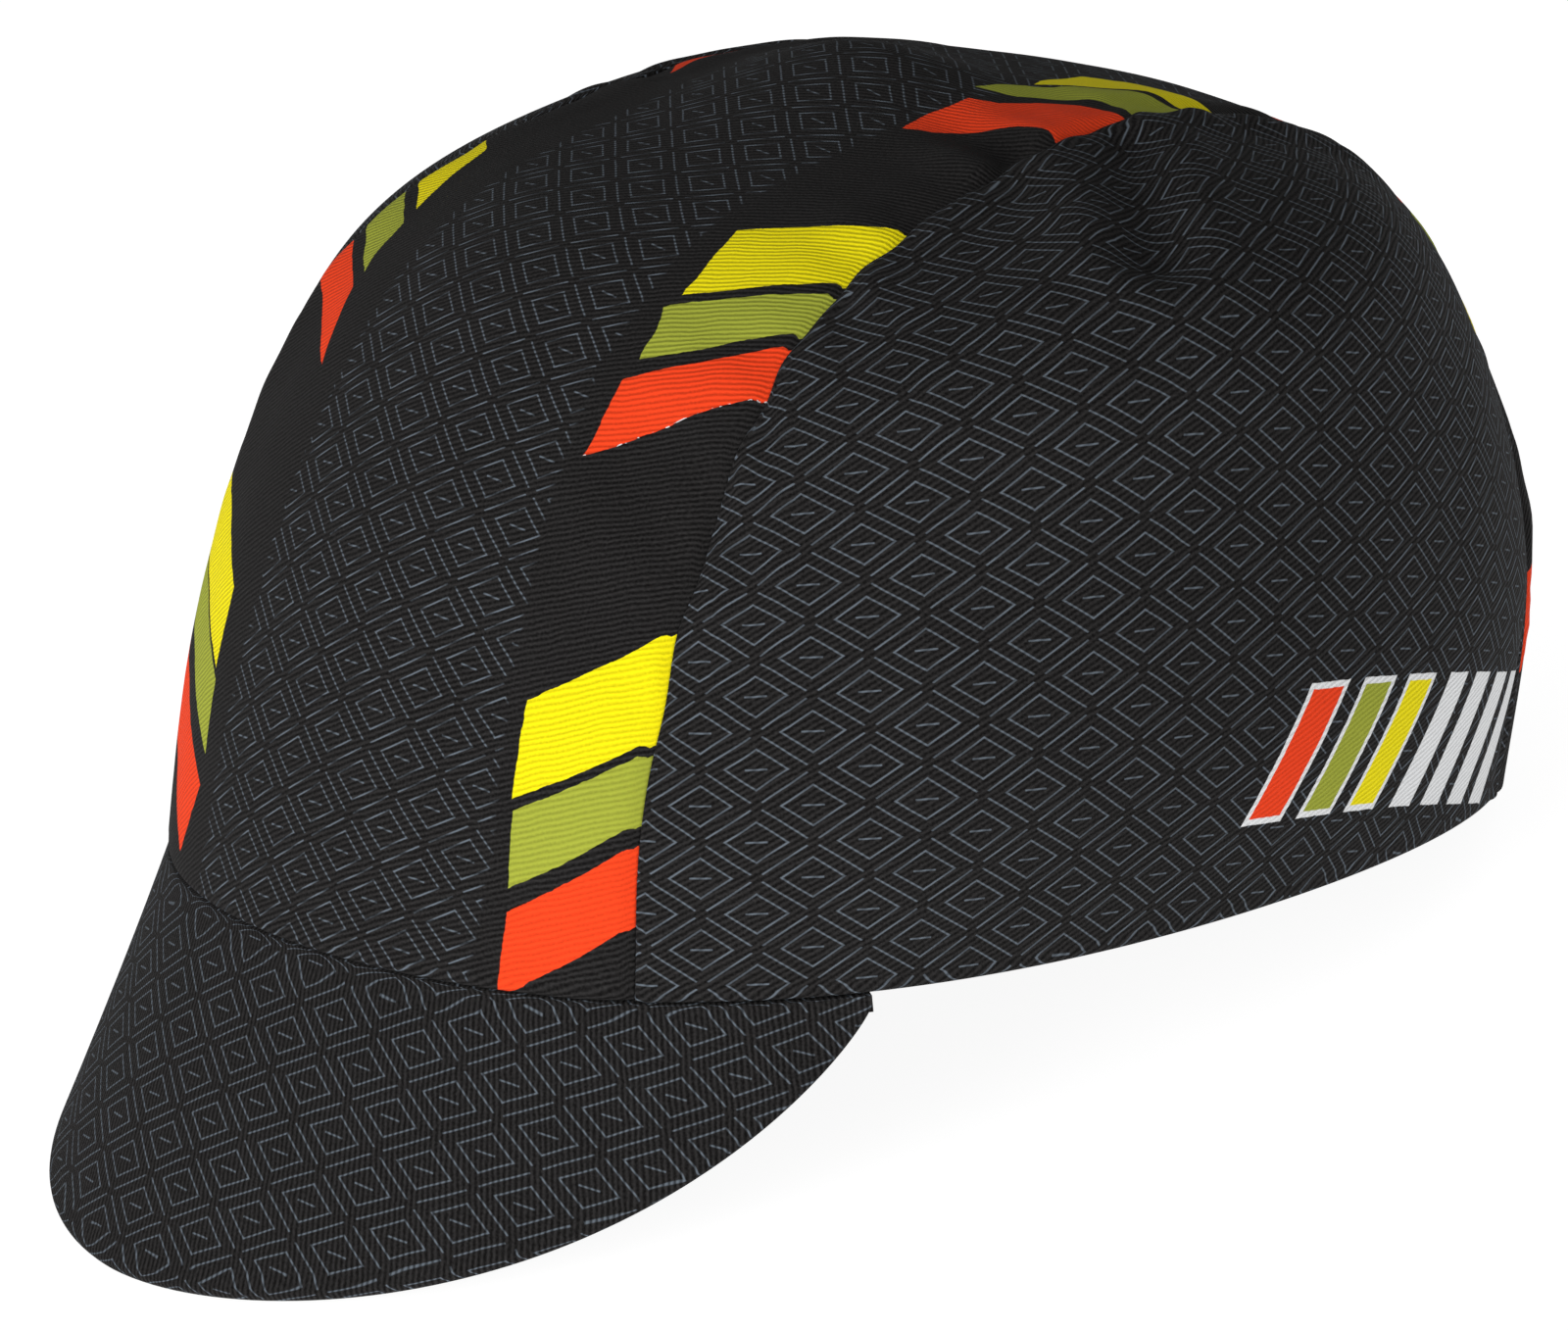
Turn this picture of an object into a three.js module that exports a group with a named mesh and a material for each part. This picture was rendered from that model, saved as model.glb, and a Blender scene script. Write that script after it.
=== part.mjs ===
// Cycling cap: a crown of three cloth panels and a short turned-down peak.
// Millimetres, +Z up. The peak points to -Y and the wearer's left side is +X.
// The cap lies on a level surface at z = 0, on the tip of its peak and on its rear edge.
import * as THREE from 'three';

// Crown: outside reach from the upright line through the middle of the head, and heights above the surface
const frontReach = 88.5;
const backReach = 114;
const halfWidth = 84.5;
const crownTop = 130.2;
const topSetback = 33;
const sideEdgeHeight = 25;
const edgeWave = 1.2;
const clothWall = 1.4;

// How far below the surface the rear edge would hang if it didn't lie flat on it
const rearSag = 1.5;

// Seams: half width of the centre panel, the gap at each seam, the groove along it and the rolls beside it
const centreHalfWidth = 45.6;
const seamGap = 0.3;
const grooveDepth = 0.9;
const grooveReach = 1.8;
const ridgeHeight = 0.45;
const ridgeOffset = 8.5;
const ridgeReach = 4;
const rollHeight = 0.5;
const rollOffset = 2.5;
const rollReach = 3;

// Soft folds in the cloth: greatest depth, and how far a fold reaches to each side
const foldDepth = 2.2;
const foldReach = 5;
const shoulderShare = 0.45;
const shoulderOffset = 1.8;
const shoulderReach = 0.9;

// Peak: length at its middle, where it ends round the edge, how it slopes down, and its padded wall
const peakLength = 50.3;
const peakEndLength = 1.5;
const peakTurn = 65;
const peakSlope = 49.3;
const peakEndSlope = 81;
const peakStraightness = 0.47;
const peakShoulderPower = 1.815;
const peakTaperPower = 0.84;
const peakWall = 2.8;
const peakEdgeWall = 1.9;
const peakEdgePower = 4;
const peakRoot = 3.2;
const peakGap = 0.3;
const tipFlattening = 0.25;

// Facets: columns and rows of each piece, and how much they crowd towards the seams
const centreColumns = 16;
const centreRows = 44;
const centreCrowding = 0.4;
const sideColumns = 30;
const sideRows = 18;
const sideCrowding = 0.25;
const peakColumns = 28;
const peakRows = 7;

// Share of the seam line that bounds a side panel's first and last columns
const sideCornerShare = 0.15;

// Small step for slopes, passes of a search, and the least slant used for a distance from the seam
const nudge = 0.001;
const passes = 40;
const leastSlant = 0.4;

// Crown sections from the edge, level 0, to the top, level 90. Front, back and side are shares of the
// reaches and the half width, and rise is the share of the way up from the edge to the top.
const levels = [
  { at: 0, front: 1, back: 1, side: 1, rise: 0 },
  { at: 15, front: 0.96, back: 0.99, side: 1.07, rise: 0.27 },
  { at: 30, front: 0.885, back: 0.855, side: 1.05, rise: 0.55 },
  { at: 45, front: 0.755, back: 0.645, side: 0.97, rise: 0.77 },
  { at: 60, front: 0.595, back: 0.365, side: 0.69, rise: 0.895 },
  { at: 75, front: 0.32, back: 0.17, side: 0.36, rise: 0.95 },
  { at: 90, front: 0, back: 0, side: 0, rise: 1 },
];

// Seam line from the front edge, -1, over the top, 0, to the rear edge, 1, in shares of centreHalfWidth
const seamStations = [
  { at: -1, half: 1.325 },
  { at: -0.5, half: 1.24 },
  { at: 0, half: 1 },
  { at: 0.5, half: 0.79 },
  { at: 1, half: 1.49 },
];

// Folds from one place on the crown to another: turn round from the front (+ to the wearer's left) and level
// in degrees, with depth and reach as shares of foldDepth and foldReach
const folds = [
  { turn: 107, level: 64, endTurn: 89, endLevel: 52, depth: 1, reach: 1 },
  { turn: 82, level: 56, endTurn: 73, endLevel: 50, depth: -0.3, reach: 1.3 },
  { turn: 29, level: 39, endTurn: 38, endLevel: 33, depth: 0.3, reach: 1.2 },
  { turn: -152, level: 40, endTurn: -140, endLevel: 26, depth: 0.3, reach: 2 },
];

const radians = THREE.MathUtils.degToRad;

// Smooth curve through a table's column, at a value of its first column
function follow(rows, column, at, before, beyond) {
  const step = rows[1].at - rows[0].at;
  const place = (at - rows[0].at) / step;
  const index = THREE.MathUtils.clamp(Math.floor(place), 0, rows.length - 2);
  const share = place - index;
  const p0 = index > 0 ? rows[index - 1][column] : before;
  const p1 = rows[index][column];
  const p2 = rows[index + 1][column];
  const p3 = index < rows.length - 2 ? rows[index + 2][column] : beyond;
  const linear = p2 - p0;
  const square = 2 * p0 - 5 * p1 + 4 * p2 - p3;
  const cube = 3 * p1 - p0 - 3 * p2 + p3;
  return p1 + (share * (linear + share * (square + share * cube))) / 2;
}

// A section column of the crown. Reaches run on through the top to the far side, and rise turns back down.
function section(column, level) {
  const before = 2 * levels[0][column] - levels[1][column];
  const last = levels[levels.length - 2][column];
  return follow(levels, column, level, before, column === 'rise' ? last : -last);
}

// Half width of the centre panel at a place between the front edge and the rear edge
function seamHalfWidth(place) {
  const first = 2 * seamStations[0].half - seamStations[1].half;
  const count = seamStations.length;
  const last = 2 * seamStations[count - 1].half - seamStations[count - 2].half;
  const within = THREE.MathUtils.clamp(place, -1, 1);
  return centreHalfWidth * follow(seamStations, 'half', within, first, last);
}

// Height of the front edge above the surface, which the sloping peak sets
const frontEdgeHeight = peakLength * Math.sin(radians(peakSlope))
  + peakEdgeWall * Math.cos(radians(peakSlope)) + peakGap - tipFlattening;

// Height of the crown's lower edge at a turn round from the front, and 0 where it lies on the surface
function edgeHeight(turn) {
  const mean = (frontEdgeHeight - rearSag) / 4 + sideEdgeHeight / 2;
  const tilt = (frontEdgeHeight + rearSag) / 2;
  const bow = (frontEdgeHeight - rearSag) / 4 - sideEdgeHeight / 2;
  const wave = edgeWave * (Math.cos(3 * turn) - Math.cos(turn));
  return Math.max(0, mean + tilt * Math.cos(turn) + bow * Math.cos(2 * turn) + wave);
}

// Point on the crown's smooth outside at a turn, in radians, and a level, in degrees
function crownPoint(turn, level) {
  const front = frontReach * section('front', level);
  const back = backReach * section('back', level);
  const rise = section('rise', level);
  const cosine = Math.cos(turn);
  const forward = ((front + back) * cosine + (front - back) * cosine * cosine) / 2;
  const low = edgeHeight(turn);
  return new THREE.Vector3(
    halfWidth * section('side', level) * Math.sin(turn),
    topSetback * rise - forward,
    low + (crownTop - low) * rise,
  );
}

// The crown as a flat disc: across and along run from -1 to 1, the edge is the unit circle, the top is 0, 0
function discPoint(across, along) {
  return crownPoint(Math.atan2(across, -along), 90 * (1 - Math.hypot(across, along)));
}

// Outward direction of the smooth crown at a place on the disc
function discNormal(across, along) {
  const sideways = discPoint(across + nudge, along).sub(discPoint(across - nudge, along));
  const lengthways = discPoint(across, along + nudge).sub(discPoint(across, along - nudge));
  return sideways.cross(lengthways).normalize();
}

const bell = (distance) => Math.exp(-distance * distance);

// Depth of the soft folds at a point of the crown
const foldLines = folds.map((fold) => ({
  line: new THREE.Line3(
    crownPoint(radians(fold.turn), fold.level),
    crownPoint(radians(fold.endTurn), fold.endLevel),
  ),
  depth: fold.depth * foldDepth,
  reach: fold.reach * foldReach,
}));

function foldRelief(point) {
  const nearest = new THREE.Vector3();
  let height = 0;
  for (const { line, depth, reach } of foldLines) {
    line.closestPointToPoint(point, true, nearest);
    const away = nearest.distanceTo(point) / reach;
    height -= depth * (bell(away) - shoulderShare * bell((away - shoulderOffset) / shoulderReach));
  }
  return height;
}

// How far the cloth stands off the smooth crown: a groove at the seam, a soft ridge on the centre panel
// beside it, a rolled edge on the side panel, and the folds
function relief(point, normal, along) {
  const slant = Math.max(leastSlant, Math.sqrt(1 - normal.x * normal.x));
  const away = (Math.abs(point.x) - seamHalfWidth(along)) / slant;
  const groove = grooveDepth * bell(away / grooveReach);
  const ridge = ridgeHeight * bell((away + ridgeOffset) / ridgeReach);
  const roll = rollHeight * bell((away - rollOffset) / rollReach);
  return foldRelief(point) - groove + (away < 0 ? ridge : roll);
}

// Outside and inside points of the cloth at a place on the disc. At the edge the wall is measured level.
function clothPoints(across, along) {
  const outer = discPoint(across, along);
  const normal = discNormal(across, along);
  const stand = relief(outer, normal, along);
  const atEdge = Math.hypot(across, along) > 1 - nudge / 10;
  if (atEdge) normal.setZ(0).normalize();
  outer.addScaledVector(normal, stand);
  const inner = outer.clone().addScaledVector(normal, -clothWall);
  return [outer, inner];
}

// Place on the disc where the crown is a given distance beyond the seam line, found by halving
function seamPlace(along, beyond) {
  const target = seamHalfWidth(along) + beyond;
  let low = 0;
  let high = Math.sqrt(Math.max(0, 1 - along * along));
  for (let pass = 0; pass < passes; pass += 1) {
    const middle = (low + high) / 2;
    if (discPoint(middle, along).x > target) high = middle;
    else low = middle;
  }
  return new THREE.Vector2((low + high) / 2, along);
}

// Where the seam line meets the edge, at the front (end -1) or the rear (end 1)
function seamFoot(end, beyond) {
  let along = end;
  for (let pass = 0; pass < passes; pass += 1) {
    const share = (seamHalfWidth(along) + beyond) / halfWidth;
    along = end * Math.sqrt(1 - share * share);
  }
  return new THREE.Vector2(Math.sqrt(1 - along * along), along);
}

// The line at a distance beyond the seam, as places on the disc from its front foot, 0, to its rear foot, 1
function seamLine(beyond) {
  const front = seamFoot(-1, beyond);
  const rear = seamFoot(1, beyond);
  const at = (share) => {
    if (share <= 0) return front.clone();
    if (share >= 1) return rear.clone();
    return seamPlace(THREE.MathUtils.lerp(front.y, rear.y, share), beyond);
  };
  return { front, rear, at };
}

// Closed solid from two matching grids of points, the first facing out. pointsAt gives a point of each grid
// at shares of the way along columns and rows, and turned says where a facet pair is split the other way.
function wallSolid(columns, rows, pointsAt, turned = () => false) {
  const grids = [[], []];
  for (let row = 0; row <= rows; row += 1) {
    for (let column = 0; column <= columns; column += 1) {
      pointsAt(column / columns, row / rows).forEach((point, layer) => grids[layer].push(point));
    }
  }
  const at = (column, row, layer) => layer * grids[0].length + row * (columns + 1) + column;
  const index = [];
  for (let row = 0; row < rows; row += 1) {
    for (let column = 0; column < columns; column += 1) {
      for (const layer of [0, 1]) {
        const a = at(column, row, layer);
        const b = at(column + 1, row, layer);
        const c = at(column + 1, row + 1, layer);
        const d = at(column, row + 1, layer);
        const halves = turned(column, row) ? [[a, b, d], [b, c, d]] : [[a, b, c], [a, c, d]];
        halves.forEach((face) => index.push(...(layer ? face.reverse() : face)));
      }
    }
  }
  const border = [];
  for (let column = 0; column < columns; column += 1) border.push([column, 0]);
  for (let row = 0; row < rows; row += 1) border.push([columns, row]);
  for (let column = columns; column > 0; column -= 1) border.push([column, rows]);
  for (let row = rows; row > 0; row -= 1) border.push([0, row]);
  border.forEach((place, step) => {
    const next = border[(step + 1) % border.length];
    const a = at(...place, 0);
    const b = at(...next, 0);
    const c = at(...next, 1);
    const d = at(...place, 1);
    index.push(a, c, b, a, d, c);
  });
  const positions = grids.flat().flatMap((point) => point.toArray());
  const geometry = new THREE.BufferGeometry();
  geometry.setAttribute('position', new THREE.Float32BufferAttribute(positions, 3));
  geometry.setIndex(index);
  return geometry;
}

// Centre panel: a strip from the front edge over the top to the rear edge
function centrePanel() {
  const seam = seamLine(-seamGap / 2);
  // How far the crown's round edge runs on past a straight line between the seam's two feet
  const bulge = (across, foot) => Math.sqrt(1 - across * across) - Math.abs(foot.y);
  return wallSolid(centreColumns, centreRows, (column, row) => {
    const even = 2 * column - 1;
    const side = THREE.MathUtils.lerp(even, Math.sin((even * Math.PI) / 2), centreCrowding);
    const edge = seam.at(row);
    const toFront = (1 - row) * bulge(side * seam.front.x, seam.front);
    const toRear = row * bulge(side * seam.rear.x, seam.rear);
    return clothPoints(side * edge.x, edge.y - toFront + toRear);
  });
}

// Side panel on the left, side 1, or the right, side -1: upright columns from the lower edge to the seam,
// where the seam line also bounds the first and last columns
function sidePanel(side) {
  const seam = seamLine(seamGap / 2);
  const frontTurn = Math.atan2(seam.front.x, -seam.front.y);
  const rearTurn = Math.atan2(seam.rear.x, -seam.rear.y);
  const frontCorner = seam.at(sideCornerShare);
  const rearCorner = seam.at(1 - sideCornerShare);
  // A place between four border lines: what each opposite pair gives, less what the four corners give
  const placeAt = (share, height) => {
    const turn = THREE.MathUtils.lerp(frontTurn, rearTurn, share);
    const low = new THREE.Vector2(Math.sin(turn), -Math.cos(turn));
    const high = seam.at(THREE.MathUtils.lerp(sideCornerShare, 1 - sideCornerShare, share));
    const upright = low.lerp(high, height);
    const level = seam.at(sideCornerShare * height).lerp(seam.at(1 - sideCornerShare * height), share);
    const feet = seam.front.clone().lerp(seam.rear, share);
    const corners = frontCorner.clone().lerp(rearCorner, share);
    return upright.add(level).sub(feet.lerp(corners, height));
  };
  const turned = (column) => (column < sideColumns / 2) === (side > 0);
  return wallSolid(sideColumns, sideRows, (column, row) => {
    const share = side > 0 ? column : 1 - column;
    const height = row + sideCrowding * row * (1 - row);
    const place = placeAt(share, height);
    return clothPoints(side * place.x, place.y);
  }, turned);
}

// Top of the peak at a share of the way to its end, from -1 to 1, and a share of its length
function peakPoint(share, out) {
  const turn = share * radians(peakTurn);
  const spread = Math.max(0, 1 - Math.abs(share) ** peakShoulderPower) ** peakTaperPower;
  const length = out * (peakEndLength + (peakLength - peakEndLength) * spread);
  const slope = radians(THREE.MathUtils.lerp(peakSlope, peakEndSlope, share * share));
  const round = new THREE.Vector3(Math.sin(turn), -Math.cos(turn), 0);
  const ahead = round.lerp(new THREE.Vector3(0, -1, 0), peakStraightness).normalize();
  const point = crownPoint(turn, 0).addScaledVector(ahead, length * Math.cos(slope));
  return point.setZ(edgeHeight(turn) - peakGap - length * Math.sin(slope));
}

// Peak: a padded sheet that starts under the crown's edge and lies flat where its tip meets the surface
function peak() {
  const lay = (point) => point.setZ(Math.max(0, point.z));
  return wallSolid(peakColumns, peakRows, (column, row) => {
    const share = Math.sin((0.5 - column) * Math.PI);
    const out = Math.max(0, (row * peakRows - 1) / (peakRows - 1));
    const top = peakPoint(share, out);
    if (row === 0) {
      const turn = share * radians(peakTurn);
      const inward = discNormal(Math.sin(turn), -Math.cos(turn)).setZ(0).normalize();
      top.addScaledVector(inward, -peakRoot);
      return [top, top.clone().setZ(top.z - peakWall)];
    }
    const within = THREE.MathUtils.clamp(share, nudge - 1, 1 - nudge);
    const sideways = peakPoint(within + nudge, out).sub(peakPoint(within - nudge, out));
    const outwards = peakPoint(share, 1).sub(peakPoint(share, 0));
    const normal = outwards.cross(sideways).normalize();
    const wall = THREE.MathUtils.lerp(peakWall, peakEdgeWall, out ** peakEdgePower);
    const under = top.clone().addScaledVector(normal, -wall);
    return [lay(top), lay(under)];
  });
}

function cloth(color, roughness) {
  return new THREE.MeshStandardMaterial({ color, roughness, metalness: 0 });
}

function piece(name, geometry, material) {
  const mesh = new THREE.Mesh(geometry, material);
  mesh.name = name;
  return mesh;
}

const cap = new THREE.Group();
cap.name = 'cycling_cap';
cap.add(
  piece('crown_centre_panel', centrePanel(), cloth('#211f1e', 0.88)),
  piece('crown_side_panel_left', sidePanel(1), cloth('#1f1e1f', 0.88)),
  piece('crown_side_panel_right', sidePanel(-1), cloth('#1f1e1f', 0.88)),
  piece('peak', peak(), cloth('#232122', 0.85)),
);

// The origin is under the middle of the whole cap, on the surface
const bounds = new THREE.Box3().setFromObject(cap);
const middle = bounds.getCenter(new THREE.Vector3());
cap.position.set(-middle.x, -middle.y, -bounds.min.z);

export default cap;
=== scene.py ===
"""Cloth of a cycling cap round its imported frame: three crown panels and a peak on a pale floor.

Metres, +Z up. The peak points to -Y and the wearer's left side is +X. Cloth coordinates in the
materials are millimetres on the flat panel, as it is before it is sewn.
"""

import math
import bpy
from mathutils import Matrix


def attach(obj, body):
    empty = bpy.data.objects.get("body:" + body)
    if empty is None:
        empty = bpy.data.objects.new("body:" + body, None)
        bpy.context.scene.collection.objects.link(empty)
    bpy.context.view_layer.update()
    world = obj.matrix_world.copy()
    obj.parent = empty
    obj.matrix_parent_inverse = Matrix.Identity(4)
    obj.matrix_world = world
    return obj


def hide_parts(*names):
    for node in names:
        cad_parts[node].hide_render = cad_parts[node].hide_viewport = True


bl_info = {
    "name": "Cycling Cap",
    "version": (1, 0, 0),
    "blender": (4, 5, 0),
    "location": "3D View > Sidebar > Cap",
    "description": "Builds the cloth of a cycling cap round its packed frame",
    "category": "Add Mesh",
}

from functools import partial

import bpy
import numpy as np
from bpy.props import FloatProperty, FloatVectorProperty, PointerProperty
from mathutils import Matrix, Vector

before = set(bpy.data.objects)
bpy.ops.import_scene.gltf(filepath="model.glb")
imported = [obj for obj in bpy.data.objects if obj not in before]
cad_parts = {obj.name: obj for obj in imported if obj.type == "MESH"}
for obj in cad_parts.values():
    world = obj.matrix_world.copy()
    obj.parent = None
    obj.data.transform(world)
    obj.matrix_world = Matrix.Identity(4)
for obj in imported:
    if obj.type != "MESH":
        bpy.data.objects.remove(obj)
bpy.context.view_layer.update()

# Crown sections at even steps of level from the edge to the top: shares of the reaches and the rise
LEVEL_STEP = 15
LEVELS = {
    "front": (1, 0.96, 0.885, 0.755, 0.595, 0.32, 0),
    "back": (1, 0.99, 0.855, 0.645, 0.365, 0.17, 0),
    "side": (1, 1.07, 1.05, 0.97, 0.69, 0.36, 0),
    "rise": (0, 0.27, 0.55, 0.77, 0.895, 0.95, 1),
}

# The seam's half width at even steps from the front edge over the top to the rear edge, in shares
SEAM_STATIONS = (1.325, 1.24, 1, 0.79, 1.49)

# The seam's slight wander: its height, where it sets in and fades along the crown's disc, and the
# share, frequency and phase of each of its waves
WANDER_HEIGHT = 0.00032
WANDER_START = (-0.75, -0.45)
WANDER_END = (0.6, 0.8)
WANDER_WAVES = ((1, 61, 0.6), (0.6, 97, 2))

# Stretch of the crown's disc over which the seam's length is measured, and the number of points
SEAM_STRETCH = (-0.9, 0.95)
SEAM_POINTS = 400

# Folds from one place on the crown to another: turn from the front and level in degrees, and shares
# of the fold's depth and reach
FOLDS = (
    {"turn": 107, "level": 64, "end_turn": 89, "end_level": 52, "depth": 1, "reach": 1},
    {"turn": 82, "level": 56, "end_turn": 73, "end_level": 50, "depth": -0.3, "reach": 1.3},
    {"turn": 29, "level": 39, "end_turn": 38, "end_level": 33, "depth": 0.3, "reach": 1.2},
    {"turn": -152, "level": 40, "end_turn": -140, "end_level": 26, "depth": 0.3, "reach": 2},
)

# Raised rim of a fold: its height as a share of the depth, and its place and width in reaches
FOLD_RIM = 0.45
FOLD_RIM_PLACE = 1.8
FOLD_RIM_WIDTH = 0.9

# Where the cloth stands higher on one side of a seam than on the other: side (1 left, -1 right),
# place along the seam, how far that reaches along it, and how far the side panel rises and the
# centre one dips. The height is greatest at STEP_OFFSET from the seam.
SEAM_STEPS = (
    {"side": 1, "run": 0.215, "reach": 0.022, "height": 0.0012},
    {"side": 1, "run": 0.262, "reach": 0.017, "height": -0.0009},
    {"side": 1, "run": 0.303, "reach": 0.017, "height": -0.0012},
    {"side": -1, "run": 0.105, "reach": 0.045, "height": -0.001},
)
STEP_OFFSET = 0.0047
STEP_REACH = 0.0029

# How deep each panel lies in the seam's groove, as a share of its depth
SIDE_GROOVE = 0.35
CENTRE_GROOVE = 0.7

# Distance over which doubled cloth thins out again
HEM_FADE = 0.0008

# Radius of the cloth's turned edges, as shares of its thickness there
SEAM_ROUNDING = 0.2
HEM_ROUNDING = 0.46

# Gathers beside the seams. Along the seam: where it begins to bend and has bent fully, where the
# gathers start and stop to weaken and by what share, and where most cloth is gathered
BEND = (0.03, 0.13)
WEAKENING = (0.24, 0.3)
WEAKENED = 0.6
GATHERED_PLACE = 0.17
GATHERED_REACH = 0.022

# Height shares of the gathers everywhere, where the seam bends, where most cloth is gathered, and
# beside the right seam
PUCKER_HEIGHTS = {"plain": 0.22, "bent": 0.78, "gathered": 1.3, "right": 0.3}

# Reach shares of the gathers on the side panels, on the centre panel and more there where the seam
# bends, and the distance from the seam over which they rise
PUCKER_REACHES = {"side": 0.8, "centre": 0.9, "bent": 1.1}
PUCKER_START = 0.0028

# Height share, length and phase share of the long and the short gathers, and what makes them drift
# along the seam and differ in height
LONG_GATHERS = {"share": 0.6, "length": 0.0172, "phase": 1}
SHORT_GATHERS = {"share": 0.35, "length": 0.0109, "phase": 2.1}
DRIFT = {"height": 0.0022, "length": 0.041}
UNEVEN = {"least": 0.65, "more": 0.35, "length": 0.0127, "phase": 1.7}

# Broad waves of the cloth, each the product of two sines: its height, and for each sine its lengths
# over x, y and z, EVEN where it doesn't change along them, and its share of the panel's phase
EVEN = math.inf
WAVES = (
    (0.00028, ((0.0131, 0.0173, EVEN), 1), ((EVEN, -0.0211, 0.0147), 1.3)),
    (0.00012, ((EVEN, 0.0083, -0.0119), 2.2), ((0.0097, EVEN, 0.0161), 0)),
)

# Distances over which the waves rise, from the lower edge and from a seam
WAVE_START = 0.02
WAVE_SEAM_START = 0.008

# Phase of the centre panel's gathers and waves, and of the side panels' (left 1 more, right 1 less)
CENTRE_PHASE = 0.7
SIDE_PHASE = 1.9

# Distances from a cloth edge that get a row of points each, in walls
EDGE_ROWS = (0, 0.05, 0.14, 0.28, 0.5, 0.8)

# Sizes by which the grids are divided: the centre panel's and the peak's widths as shares of a half
# width, and a side panel's length and height
CENTRE_SPREAD = 2.1
PEAK_SPREAD = 2.2
SIDE_LENGTH = 0.235
SIDE_HEIGHT = 0.112

# Share of the seam that runs up each end of a side panel's grid
SIDE_CORNER = 0.15

# The peak's turn to each end, its slopes at the middle and the ends, and the shape of its outline
PEAK_TURN = math.radians(65)
PEAK_SLOPE = math.radians(49.3)
PEAK_END_SLOPE = math.radians(81)
PEAK_STRAIGHTNESS = 0.47
PEAK_SHOULDER_POWER = 1.815
PEAK_TAPER_POWER = 0.84
PEAK_EDGE_POWER = 4
PEAK_ROOT_ROWS = (1, 0.66, 0.33)
TIP_FLATTENING = 0.00025

# Accuracy: passes of the search by halving, step to both sides for a normal, least slant of a
# surface that a distance is measured on, and the unwrap's grid step and passes
SEARCH_PASSES = 40
NUDGE = 0.001
LEAST_SLANT = 0.4
PATTERN_STEP = 5
PATTERN_PASSES = 60

# Angle of the ribs to each piece's width in degrees, and how much the ribs break up its fine lines
PRINTS = {
    "centre": {"angle": 26.5, "breaks": 0.75},
    "side": {"angle": 28, "breaks": 0.3},
    "peak": {"angle": -70.5, "breaks": 0.6},
}

# Fine print in each figure: how far the diamond's corners are open and how far the smaller one
# lies inside, as shares of the figure, and half the dash's length in millimetres
OPEN_CORNER = 0.1
NESTED = 0.22
HALF_DASH = 1.5

# Unevenness of the cloth and the print: scale, detail and roughness of the noise
WOBBLE = (0.16, 3, 0.5)
MOTTLE = (0.09, 4, 0.6)
FIBRE = (2.4, 3, 0.65)
BAR_ROUGHNESS = (0.5, 3, 0.6)
STRIPE_ROUGHNESS = (0.6, 3, 0.6)
BARE_ROUGHNESS = (0.8, 2, 0.5)

# How far the ribs wander, and the cloth's light, shade, worn lines and bumps from its ribs, fibres
# and mottle. The ribs' shares of LIGHT and SHADE are painted light on the rib tops and painted
# shade in the valleys between them; the fibres' and the mottle's shares are the cloth's own tone
RIB_WANDER = 0.9
LIGHT = {"rib": 0.5, "fibre": 1.5, "mottle": 0.2}
SHADE = {"least": 0.79, "rib": 0.26, "fibre": 0.45}
WEAR = {"rib": 1.3, "fibre": 0.9, "least": 0.5}
FADING = {"least": 0.75, "mottle": 0.5}
BUMP = {"strength": 0.9, "fibre": 0.6}
CLOTH_SURFACE = {
    "Roughness": 0.9,
    "Sheen Weight": 0.012,
    "Sheen Roughness": 0.5,
    "Specular IOR Level": 0.07,
}

# Colour bars on the centre panel's left and right halves, from the front edge to the rear edge, in
# turn in each of three paints: where each starts and ends at the seam, where it starts and ends at
# its inner end, and how far its two inner corners lie from the seam, in millimetres. They are
# printed a little askew, so the halves differ towards the front.
BAR_PAINTS = ("red", "olive", "yellow")
LEFT_BARS = (
    (17.5, 28.4, 3.2, 14.6, 18.8, 18),
    (31.1, 40.9, 17.8, 28, 18, 18.6),
    (42.3, 57.7, 29.5, 42.5, 19, 19.8),
    (93, 101.7, 75.8, 87.4, 23, 22),
    (104.2, 112.5, 90.8, 99.4, 21, 22.8),
    (114.9, 128.4, 102.1, 115.4, 21, 22.3),
    (160, 174.7, 147.9, 160.8, 22, 22),
    (176.9, 191.5, 164.6, 172.8, 24, 21.5),
    (193.6, 201, 174.8, 187, 21, 22),
)
RIGHT_BARS = (
    (27, 38, 5.5, 15.8, 30.2, 34),
    (42, 51, 20.2, 30.6, 33.6, 30.5),
    (51.5, 64, 32.2, 43.6, 29.3, 27.5),
    (94.5, 102, 77, 90, 25.8, 18),
    (104.5, 112.5, 92.7, 102.5, 18.2, 15),
    (115, 127, 105.6, 121, 14.4, 9),
    (160, 174, 153, 165, 7, 6),
    (177, 186, 172, 181, 6, 6),
    (189, 202, 184, 197, 6, 6),
)
REAR_BARS = (
    (228, 239.5, 217, 228, 20, 20),
    (241.5, 250, 230, 238.5, 20, 20),
    (252, 264, 240.5, 252.5, 20, 20),
    (299.5, 314, 288, 302.5, 20, 20),
)
BAR_UNEVENNESS = 0.6

# How far the gathers at the top of the left seam draw the bars back, where that starts along the
# panel and how softly, and its place and reach across the bars, in millimetres
PULL = 3.2
PULL_START = 142
PULL_SOFTNESS = 4
PULL_PLACE = 9
PULL_REACH = 8.5

# The left bar along whose lower edge bare thread ends show, counted from 0, half their width in
# millimetres, the noise above which they show, and how sharply they start
BARE_BAR = 3
BARE_WIDTH = 0.1
BARE_SHARE = 0.54
BARE_SOFTNESS = 0.02

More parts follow.
